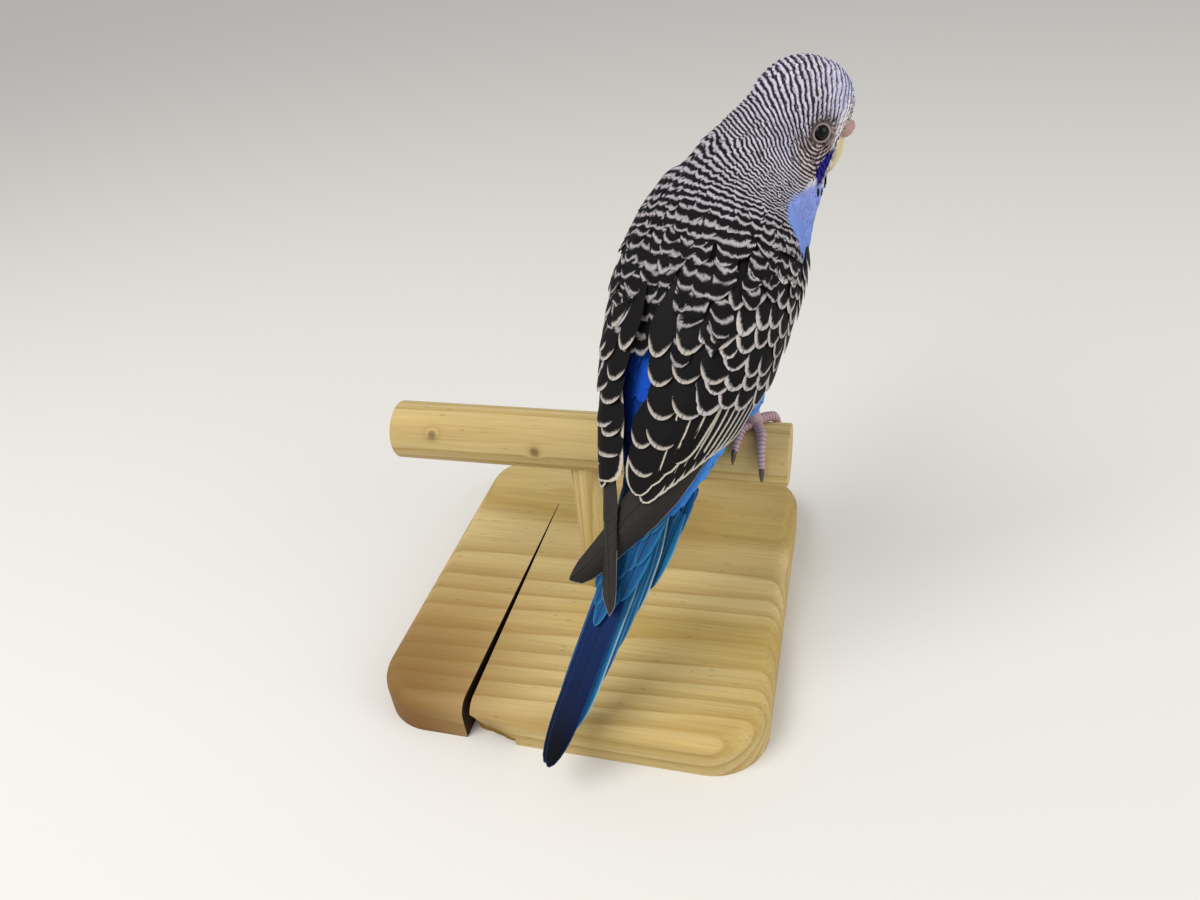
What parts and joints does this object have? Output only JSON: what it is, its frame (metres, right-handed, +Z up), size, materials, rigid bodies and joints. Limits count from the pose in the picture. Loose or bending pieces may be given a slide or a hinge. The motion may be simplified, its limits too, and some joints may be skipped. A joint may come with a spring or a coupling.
{
  "type": "budgerigar",
  "caption": "Still, life-size budgerigar gripping the crossbar of a small wooden T perch, its head turned to its right and its long tail hanging.",
  "frame": {"origin": "centre of the wooden base's underside", "axes": "+Z up; +Y to the far side of the base, where the bird's breast faces; the crossbar lies along X, with the bird near its +X end"},
  "size_m": [0.1293, 0.1363, 0.1647],
  "materials": {
    "head_plumage": "soft feathers, fine black and white bars",
    "neck_plumage": "soft feathers, black and white bars",
    "body_plumage": "soft violet-blue and cobalt feathers",
    "wing_feathers": "firm black feathers with pale margins",
    "tail_feathers": "firm navy and teal feathers",
    "foot_skin": "scaled pinkish-grey skin with dark claws",
    "cere_skin": "smooth fleshy skin",
    "beak_horn": "satin ivory horn",
    "eye": "wet, black, highly polished",
    "pine": "pale straw-yellow pine, sanded, with brown grain"
  },
  "bodies": {
    "root": {"head": "head_plumage", "neck": "neck_plumage", "torso": "body_plumage", "wing_left": "wing_feathers", "wing_right": "wing_feathers", "tail": "tail_feathers", "leg_left": "body_plumage", "leg_right": "body_plumage", "foot_left": "foot_skin", "foot_right": "foot_skin", "cere": "cere_skin", "beak_upper": "beak_horn", "beak_lower": "beak_horn", "eye_left": "eye", "eye_right": "eye", "stand_base": "pine", "stand_post": "pine", "stand_crossbar": "pine"}
  },
  "joints": []
}
